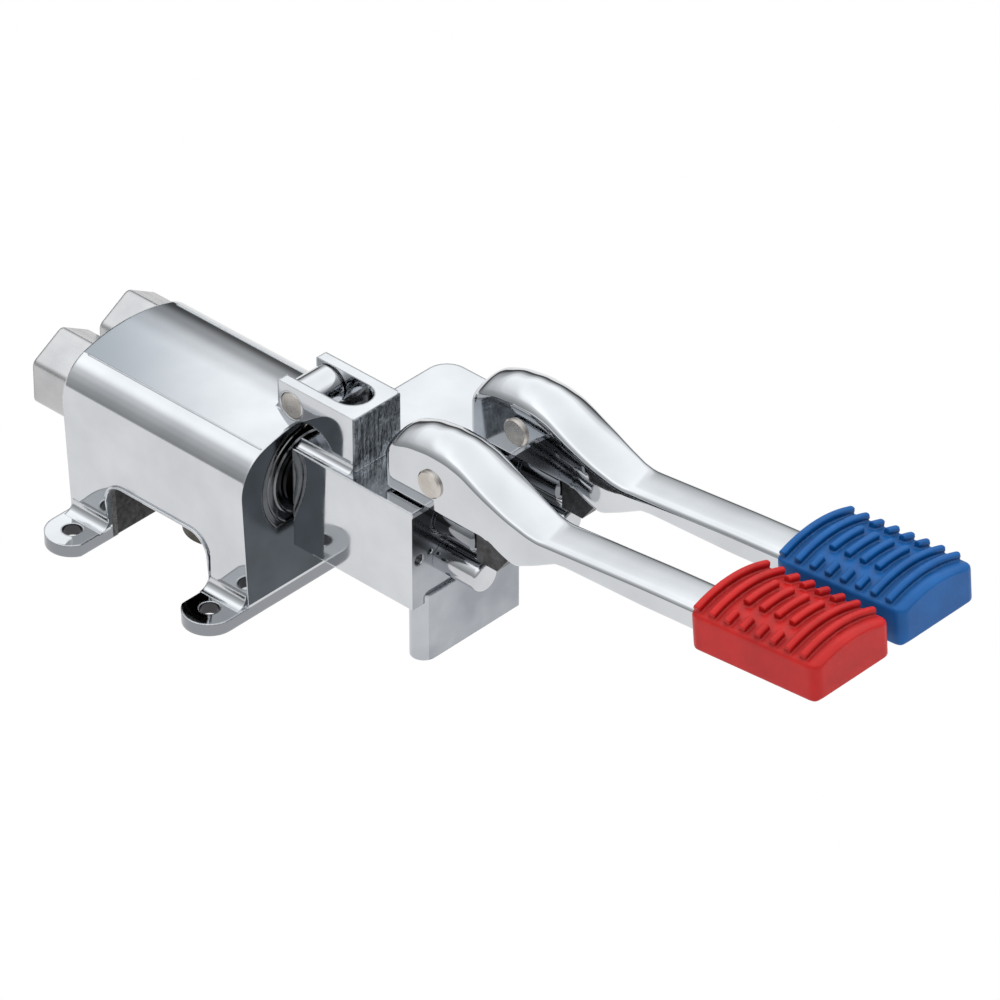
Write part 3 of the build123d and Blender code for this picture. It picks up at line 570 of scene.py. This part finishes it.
# The hinge pin and the two pivot pins are nickel-plated steel, left satin.
# They are pressed into the block's ears and lugs.
pin_nickel = metal("pin_nickel", (0.66, 0.62, 0.58), (0.52, 0.48, 0.44), rough=(0.22, 0.36), scale=400.0,
                   stretch=(0.2, 1, 1), strength=0.10)
for node in ("hinge_pin", "pivot_pin_hot", "pivot_pin_cold"):
    wear(node, pin_nickel)

# The push rods and their bushes are turned, chromed steel, darkened by a painted dark reflection. The rods slide in
# the bushes, which stand a little out of the block.
rod_chrome_painted_dark = metal("rod_chrome_painted_dark", (0.34, 0.35, 0.37), (0.22, 0.23, 0.25), rough=(0.05, 0.12), scale=300.0,
                    stretch=(1, 0.15, 1), strength=0.02, edge=0.0004)
for node in ("push_rod_hot", "push_rod_cold", "rod_bush_hot", "rod_bush_cold"):
    wear(node, rod_chrome_painted_dark)

# The bump stops are short studs with rounded noses, chromed bright. They stand in the block's front face under
# the rods and stop the levers.
stop_chrome = metal("stop_chrome", (0.62, 0.63, 0.65), (0.52, 0.53, 0.55), rough=(0.06, 0.14), scale=200.0,
                    edge=0.0008)
for node in ("bump_stop_hot", "bump_stop_cold"):
    wear(node, stop_chrome)

# The transfer pieces, the cover with its screws, the springs and the strainers are bright steel. They lie inside
# the castings and the unions, and the cover closes the back of the block.
rod_steel = metal("rod_steel", (0.70, 0.71, 0.73), (0.55, 0.56, 0.58), rough=(0.08, 0.16), scale=300.0,
                  stretch=(1, 0.15, 1), strength=0.06)
for node in ("transfer_plate_hot", "transfer_bar_cold", "cover_screws", "block_cover",
             "return_spring_hot", "return_spring_cold", "hot_valve_spring", "cold_valve_spring",
             "inlet_strainer_left", "inlet_strainer_right"):
    wear(node, rod_steel)

# The inlet unions are turned from hexagon bar and plated without polishing, so they are satin.
# They are screwed into the rear of the housing.
union_satin = metal("union_satin", (0.56, 0.56, 0.565), (0.47, 0.47, 0.48), rough=(0.22, 0.34), scale=260.0,
                    stretch=(1, 0.1, 1), strength=0.10, edge=0.0012)
for node in ("inlet_union_left", "inlet_union_right"):
    wear(node, union_satin)

# The chest is a rough casting inside the housing, with painted shade that makes it nearly black, and the valve's
# seats, sleeve and stem are turned brass.
# The seal is a black rubber ring around the sleeve.
chest_cast_and_shade = metal("chest_cast_and_shade", (0.10, 0.092, 0.08), (0.055, 0.05, 0.045), rough=(0.4, 0.6), scale=900.0,
                   strength=0.4, distance=0.0002)
wear("valve_chest", chest_cast_and_shade)
valve_brass = metal("valve_brass", (0.72, 0.55, 0.28), (0.58, 0.42, 0.20), rough=(0.25, 0.42), scale=180.0,
                    strength=0.15)
for node in ("cold_seat", "hot_seat", "cold_sleeve", "hot_stem"):
    wear(node, valve_brass)
seal_finish, tree, shader = new_finish("seal_rubber")
seal_cloud = spread(tree, object_noise(tree, scale=300.0), 0, 1)
tree.links.new(mixed(tree, seal_cloud, (0.03, 0.03, 0.03), (0.05, 0.05, 0.05)), shader.inputs["Base Color"])
shader.inputs["Roughness"].default_value = 0.6
wear("stem_seal", seal_finish)

# Each pedal lever is a polished casting: a hollow humped head over the pivot, a short dip at the neck and a straight
# arm that rises to the rubber pad. Inside, the head and its finger stay as cast and rough, with painted shade that
# makes them nearly black.
pivot_y = -0.1037
pivot_z = 0.0728
lever_heads = {"hot": 0.0037, "cold": 0.0441}
head_rear = 0.0223
rear_round = 0.0042
arm_end = -0.1172
top_line = [(0.0223, 0.0021), (0.0177, 0.0064), (0.0097, 0.0092), (0.0014, 0.0104), (-0.0063, 0.0102),
            (-0.0128, 0.0090), (-0.0216, 0.0052), (-0.0323, 0.0011), (-0.0405, -0.0014), (-0.0445, -0.0019),
            (-0.0465, -0.00185), (-0.0903, 0.0028), (arm_end, 0.0052)]
low_line = [(0.0223, -0.0104), (-0.0229, -0.0104), (-0.0300, -0.0143), (-0.0353, -0.0165), (-0.0433, -0.0128),
            (-0.0533, -0.0071), (-0.0903, -0.0053), (arm_end, -0.0031)]
dome_line = [(0.0223, 0.0030), (0.0190, 0.0046), (0.0160, 0.0050), (-0.0063, 0.0050), (-0.0216, 0.0030),
             (-0.0323, 0.0013), (-0.0445, 0.0005), (arm_end, 0.0005)]
side_line = [(0.0223, 0.0100), (-0.0200, 0.0100), (-0.0290, 0.0096), (-0.0380, 0.0087), (-0.0445, 0.0082),
             (arm_end, 0.0082)]
hollow_outline = [(0.0198, -0.030), (0.0198, -0.0005), (0.0177, 0.0041), (-0.0035, 0.0076), (-0.0125, 0.0054),
                  (-0.0216, 0.0022), (-0.0255, 0.0), (-0.0255, -0.030)]
hollow_half = 0.0075
finger_outline = [(-0.0156, 0.0060), (-0.0156, -0.0252), (-0.0246, -0.0252), (-0.0328, -0.0141),
                  (-0.0328, -0.0070)]
finger_half = 0.005
top_round = 0.0025
head_low_round = 0.0008
arm_low_round = 0.0020
arm_low_from = -0.024
head_reach = 0.0016
arm_reach = 0.0007
arm_top_from = -0.036
side_reach = 0.004
side_pull = 0.9
dome_reach = 0.003
rear_steps = 8
head_pitch = 0.0012
head_steps = 59
arm_pitch = 0.004
arm_steps = 11


def along(line, y):
    """Value of a line at a place along the lever."""
    for (y0, v0), (y1, v1) in zip(line, line[1:]):
        if y1 <= y <= y0:
            return v0 + (v1 - v0) * (y0 - y) / (y0 - y1)
    return line[-1][1]


def softened(line, y, reach):
    """Mean of a line over a short reach, which rounds its corners."""
    steps = [-1.0, -0.5, 0.0, 0.5, 1.0]
    return sum(along(line, min(line[0][0], max(line[-1][0], y + reach * s))) for s in steps) / len(steps)


def section_ring(half, top, low, top_round, low_round, crown, corner=6, across=12):
    """Cross-section with rounded corners and a crowned top."""
    def dome(x):
        return top + crown * (1 - (x / half) ** 2)

    lean = math.atan2(2 * crown, half)
    points = []
    for i in range(corner + 1):
        s = i / corner
        points.append((-half + low_round * (1 - s) ** 2, low + low_round * s ** 2))
    start = (-half, top - top_round)
    end_x = -half + top_round * math.cos(lean)
    end = (end_x, dome(end_x))
    for i in range(corner + 1):
        s = i / corner
        x = (1 - s) ** 2 * start[0] + 2 * s * (1 - s) * -half + s ** 2 * end[0]
        z = (1 - s) ** 2 * start[1] + 2 * s * (1 - s) * top + s ** 2 * end[1]
        points.append((x, z))
    for i in range(1, across):
        x = end_x * (1 - 2 * i / across)
        points.append((x, dome(x)))
    return points + [(-x, z) for x, z in reversed(points[:2 * corner + 2])]


def applied(piece):
    """Mesh of a piece with its modifiers worked in."""
    bpy.context.view_layer.update()
    return bpy.data.meshes.new_from_object(piece.evaluated_get(bpy.context.evaluated_depsgraph_get()))


def settled(piece, sharp_degrees):
    """Works the modifiers in and smooths the mesh up to an angle."""
    shape = applied(piece)
    piece.modifiers.clear()
    piece.data = shape
    shape.polygons.foreach_set("use_smooth", [True] * len(shape.polygons))
    shape.set_sharp_from_angle(angle=math.radians(sharp_degrees))


lever_chrome = metal("polished_chrome", chrome_pale, chrome_dark, rough=(0.03, 0.08), strength=0.012)
cast_and_shade_finish = metal("as_cast_painted_shade", (0.10, 0.10, 0.105), (0.05, 0.05, 0.05), rough=(0.35, 0.55), scale=900.0, strength=0.5,
                distance=0.0002)
stations = [head_rear - rear_round * (1 - math.cos(math.pi / 2 * i / rear_steps)) for i in range(rear_steps + 1)]
stations += [stations[-1] - head_pitch * i for i in range(1, head_steps + 1)]
stations += [stations[-1] - arm_pitch * i for i in range(1, arm_steps + 1)]
stations.append(arm_end)
for side, centre in lever_heads.items():
    rings = []
    for y in stations:
        past = max(0.0, y - (head_rear - rear_round))
        pull = rear_round - math.sqrt(max(0.0, rear_round ** 2 - past ** 2))
        half = softened(side_line, y, side_reach) - pull * side_pull
        top = softened(top_line, y, head_reach if y > arm_top_from else arm_reach) if past == 0 else along(top_line, y)
        low = softened(low_line, y, head_reach) + pull
        low_round = head_low_round if y > arm_low_from else arm_low_round
        ring = section_ring(half, top, low, top_round, low_round, softened(dome_line, y, dome_reach))
        rings.append([(centre + x, pivot_y + y, pivot_z + z) for x, z in ring])
    lever = as_mesh(f"lever_{side}", skinned(rings), lever_chrome)
    for cutter_name, outline, half, act in (
        ("hollow", hollow_outline, hollow_half, "DIFFERENCE"), ("finger", finger_outline, finger_half, "UNION"),
    ):
        ends = [[(x, pivot_y + y, pivot_z + z) for y, z in outline] for x in (centre - half, centre + half)]
        cut = lever.modifiers.new(cutter_name, "BOOLEAN")
        cut.object = as_mesh(cutter_name, skinned(ends), cast_and_shade_finish)
        cut.operation = act
        cut.solver = "EXACT"
        cut.material_mode = "TRANSFER"
    cutters = [cut.object for cut in lever.modifiers]
    settled(lever, 38.0)
    for cutter in cutters:
        bpy.data.objects.remove(cutter)
    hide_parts(f"pedal_lever_{side}")
    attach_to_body(lever, f"{side}_pedal")

# A moulded rubber pad is drawn over the end of each arm. Its top is crowned and carries eight cross ribs: two whole
# ones at each end, and four that are broken into a centre bar and two short ends.
pad_rear_y = -0.2159
pad_rear_top = 0.0786
pad_slope = math.radians(4.9)
pad_shift = 0.0065
pad_half = 0.0178
pad_length = 0.0534
pad_height = 0.0133
pad_crown = 0.0034
pad_corner = 0.0035
pad_edge = 0.0012
pad_edge_rate = 0.8
pad_edge_drop = 0.6
pad_voxel = 0.00034
pad_corner_steps = 8
pad_length_steps = 12
rib_pitch = 0.0063
rib_width = 0.0028
rib_rise = 0.0026
rib_first = 0.0030
rib_end = 0.0168
bar_end = 0.0072
stub_start = 0.0118
rib_rows = [
    (-rib_end, rib_end, 0, 2),
    (-rib_end, -stub_start, 2, 4),
    (-bar_end, bar_end, 2, 4),
    (stub_start, rib_end, 2, 4),
    (-rib_end, rib_end, 6, 2),
]
pad_colours = {
    "hot": ((0.56, 0.010, 0.008), (0.44, 0.006, 0.006)),
    "cold": ((0.0, 0.105, 0.36), (0.0, 0.080, 0.28)),
}


def rib_tree():
    """Nodes for a row of like ribs: a bar with round ends that follows the crown, repeated along the pad."""
    tree = bpy.data.node_groups.new("pad_ribs", "GeometryNodeTree")
    face = tree.interface
    face.new_socket("Geometry", in_out="OUTPUT", socket_type="NodeSocketGeometry")
    sockets = {}
    for label, kind in (
        ("Left", "Float"), ("Right", "Float"), ("First", "Float"), ("Pitch", "Float"), ("Count", "Int"),
        ("Width", "Float"), ("Rise", "Float"), ("Crown", "Float"), ("Half Width", "Float"), ("Finish", "Material"),
    ):
        sockets[label] = face.new_socket(label, in_out="INPUT", socket_type=f"NodeSocket{kind}").identifier
    given = tree.nodes.new("NodeGroupInput").outputs
    result = tree.nodes.new("NodeGroupOutput")
    bar_parts = 40
    bar_sides = 14
    least_share = 0.05

    def made(kind, inputs):
        return attach(tree, kind, inputs).outputs[0]

    line = made("GeometryNodeCurvePrimitiveLine", {
        "Start": made("ShaderNodeCombineXYZ", {"X": given["Left"]}),
        "End": made("ShaderNodeCombineXYZ", {"X": given["Right"]}),
    })
    parts = made("GeometryNodeResampleCurve", {"Curve": line, "Count": bar_parts})
    spot = tree.nodes.new("GeometryNodeInputPosition").outputs[0]
    share = step(tree, "DIVIDE", made("ShaderNodeSeparateXYZ", {0: spot}), given["Half Width"])
    drop = step(tree, "SUBTRACT", 1.0, step(tree, "MULTIPLY", share, share))
    radius = step(tree, "MULTIPLY", given["Width"], 0.5)
    above = step(tree, "SUBTRACT", given["Rise"], radius)
    lift = step(tree, "ADD", step(tree, "MULTIPLY", drop, given["Crown"]), above)
    raised = made("GeometryNodeSetPosition", {"Geometry": parts, "Offset": made("ShaderNodeCombineXYZ", {"Z": lift})})
    from_left = tree.nodes.new("GeometryNodeSplineParameter").outputs["Length"]
    from_right = step(tree, "SUBTRACT", step(tree, "SUBTRACT", given["Right"], given["Left"]), from_left)
    near_end = step(tree, "DIVIDE", step(tree, "MINIMUM", from_left, from_right), radius)
    near_end = step(tree, "MAXIMUM", 0.0, step(tree, "MINIMUM", 1.0, near_end))
    fall = step(tree, "SUBTRACT", 1.0, near_end)
    roundness = step(tree, "SQRT", step(tree, "SUBTRACT", 1.0, step(tree, "MULTIPLY", fall, fall)))
    thickness = step(tree, "MAXIMUM", least_share, roundness)
    tapered = made("GeometryNodeSetCurveRadius", {"Curve": raised, "Radius": thickness})
    ring = made("GeometryNodeCurvePrimitiveCircle", {"Resolution": bar_sides, "Radius": radius})
    bar = made("GeometryNodeCurveToMesh", {"Curve": tapered, "Profile Curve": ring, "Fill Caps": True})
    row = made("GeometryNodeMeshLine", {
        "Count": given["Count"],
        "Start Location": made("ShaderNodeCombineXYZ", {"Y": step(tree, "MULTIPLY", given["First"], -1.0)}),
        "Offset": made("ShaderNodeCombineXYZ", {"Y": step(tree, "MULTIPLY", given["Pitch"], -1.0)}),
    })
    copies = made("GeometryNodeInstanceOnPoints", {"Points": row, "Instance": bar})
    real = made("GeometryNodeRealizeInstances", {0: copies})
    coat = made("GeometryNodeSetMaterial", {"Geometry": real, "Material": given["Finish"]})
    tree.links.new(coat, result.inputs[0])
    return tree, sockets


def rubber(name, pale, dark):
    """Moulded rubber, with painted shade darkening its creases."""
    crease_width = 0.0032
    crease_contrast = 1.6
    crease_shade_share = 0.12
    finish, tree, shader = new_finish(name)
    colour = mixed(tree, spread(tree, object_noise(tree, scale=90.0), 0, 1), pale, dark)
    # Ambient occlusion paints shade into the creases between and around the ribs.
    crease = attach(tree, "ShaderNodeAmbientOcclusion", {"Color": colour, "Distance": crease_width})
    crease.samples = 6
    openness = step(tree, "POWER", crease.outputs["AO"], crease_contrast)
    crease_painted_shade = tuple(value * crease_shade_share for value in dark)
    tree.links.new(mixed(tree, openness, crease_painted_shade, colour), shader.inputs["Base Color"])
    fine = object_noise(tree, scale=700.0, detail=4.0)
    tree.links.new(spread(tree, fine, low=0.34, high=0.46), shader.inputs["Roughness"])
    grain(tree, shader, fine, strength=0.10, distance=0.0001)
    shader.inputs["IOR"].default_value = 1.38
    return finish


ribs, rib_sockets = rib_tree()
corner_angles = [math.pi / 2 * i / pad_corner_steps for i in range(pad_corner_steps + 1)]
rows = [(pad_corner * (1 - math.sin(a)), pad_corner * (1 - math.cos(a))) for a in corner_angles]
straight = pad_length - 2 * pad_corner
rows += [(0.0, pad_corner + straight * i / pad_length_steps) for i in range(1, pad_length_steps)]
rows += [(inset, pad_length - y) for inset, y in reversed(rows[:len(corner_angles)])]
for side, centre in lever_heads.items():
    finish = rubber(f"pad_rubber_{side}", *pad_colours[side])
    rings = []
    for inset, y in rows:
        edge = pad_edge - min(pad_edge, y * pad_edge_rate, (pad_length - y) * pad_edge_rate)
        ring = section_ring(pad_half - inset, -edge * pad_edge_drop, -pad_height + edge, pad_edge, pad_edge,
                            pad_crown * (1 - inset / pad_half), 5, 16)
        rings.append([(x, -y, z) for x, z in ring])
    joined = skinned(rings)
    for left, right, start, count in rib_rows:
        holder = bpy.data.objects.new("ribs", bpy.data.meshes.new("ribs"))
        bpy.context.scene.collection.objects.link(holder)
        grow = holder.modifiers.new("ribs", "NODES")
        grow.node_group = ribs
        for label, value in (
            ("Left", left), ("Right", right), ("First", rib_first + rib_pitch * start), ("Pitch", rib_pitch),
            ("Count", count), ("Width", rib_width), ("Rise", rib_rise), ("Crown", pad_crown),
            ("Half Width", pad_half), ("Finish", finish),
        ):
            grow[rib_sockets[label]] = value
        joined.from_mesh(applied(holder))
        bpy.data.objects.remove(holder)
    pad = as_mesh(f"pad_{side}", joined, finish)
    skin = pad.modifiers.new("one_skin", "REMESH")
    skin.mode = "VOXEL"
    skin.voxel_size = pad_voxel
    soften = pad.modifiers.new("moulded_edges", "SMOOTH")
    soften.factor = 0.5
    soften.iterations = 3
    settled(pad, 180.0)
    pad.data.transform(
        Matrix.Translation((centre + pad_shift, pad_rear_y, pad_rear_top)) @ Matrix.Rotation(-pad_slope, 4, "X")
    )
    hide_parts(f"pedal_pad_{side}")
    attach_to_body(pad, f"{side}_pedal")
